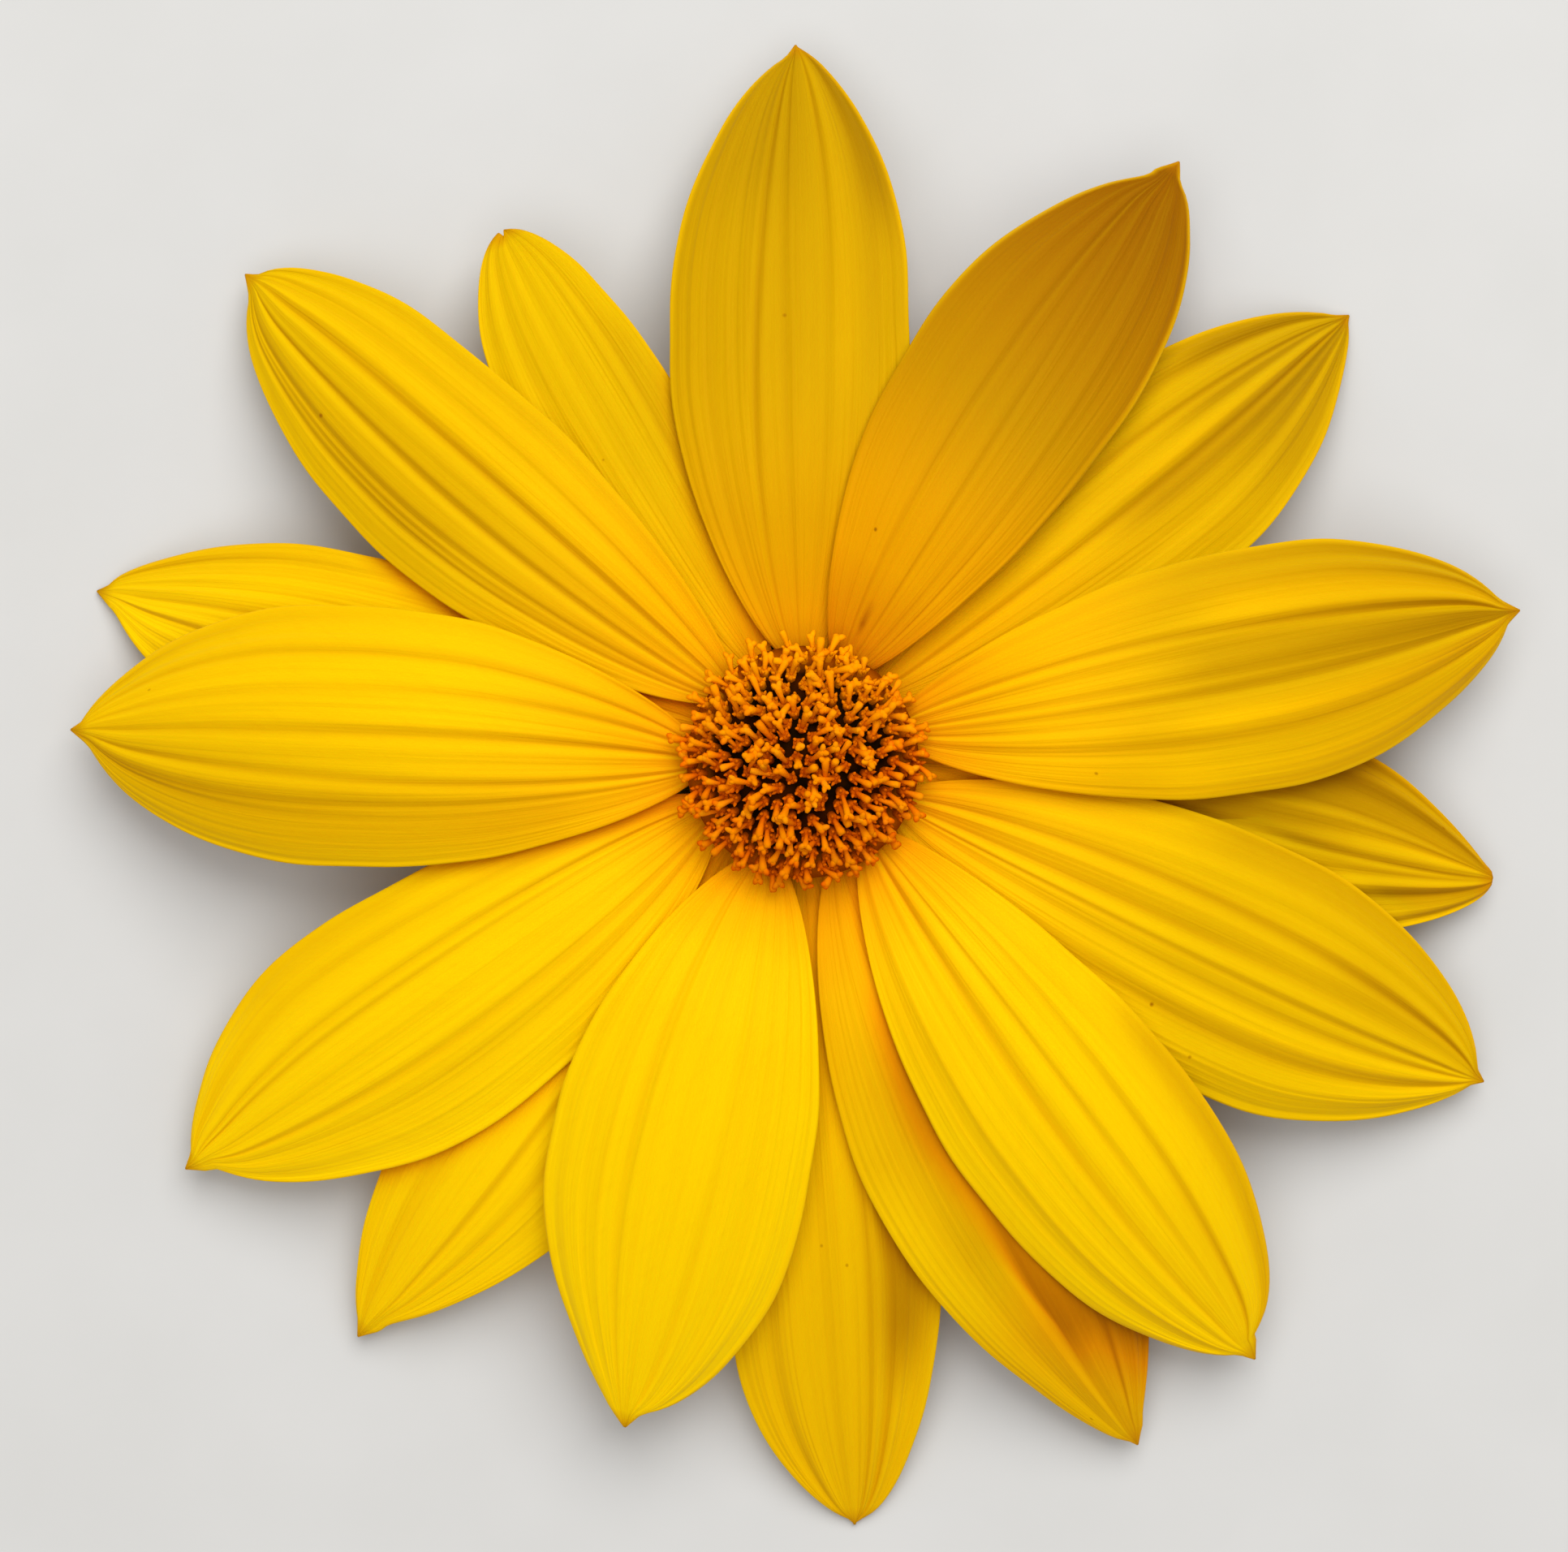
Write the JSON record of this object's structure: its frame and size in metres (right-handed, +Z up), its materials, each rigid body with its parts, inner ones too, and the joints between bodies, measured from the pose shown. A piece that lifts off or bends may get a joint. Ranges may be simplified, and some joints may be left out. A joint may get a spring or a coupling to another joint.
{
  "type": "marigold flower",
  "caption": "Picked yellow daisy-type blossom lying face up: long pointed ray petals in three levels round a domed orange disc of forked florets, on a green head with a short cut stem",
  "frame": {"origin": "on the surface the blossom lies on, under the middle of its outline", "axes": "+Z up out of the face of the blossom, +Y toward the top petal of the picture, +X to the right of the picture"},
  "size_m": [0.1204, 0.124, 0.0208],
  "materials": {
    "petal": "matte",
    "florets": "matte",
    "green": "matte"
  },
  "bodies": {
    "root": {"ray_petal_01": "petal", "ray_petal_02": "petal", "ray_petal_03": "petal", "ray_petal_04": "petal", "ray_petal_05": "petal", "ray_petal_06": "petal", "ray_petal_07": "petal", "ray_petal_08": "petal", "ray_petal_09": "petal", "ray_petal_10": "petal", "ray_petal_11": "petal", "ray_petal_12": "petal", "ray_petal_13": "petal", "ray_petal_14": "petal", "ray_petal_15": "petal", "ray_petal_16": "petal", "disc_florets": "florets", "green_head_and_stem": "green"}
  },
  "joints": []
}
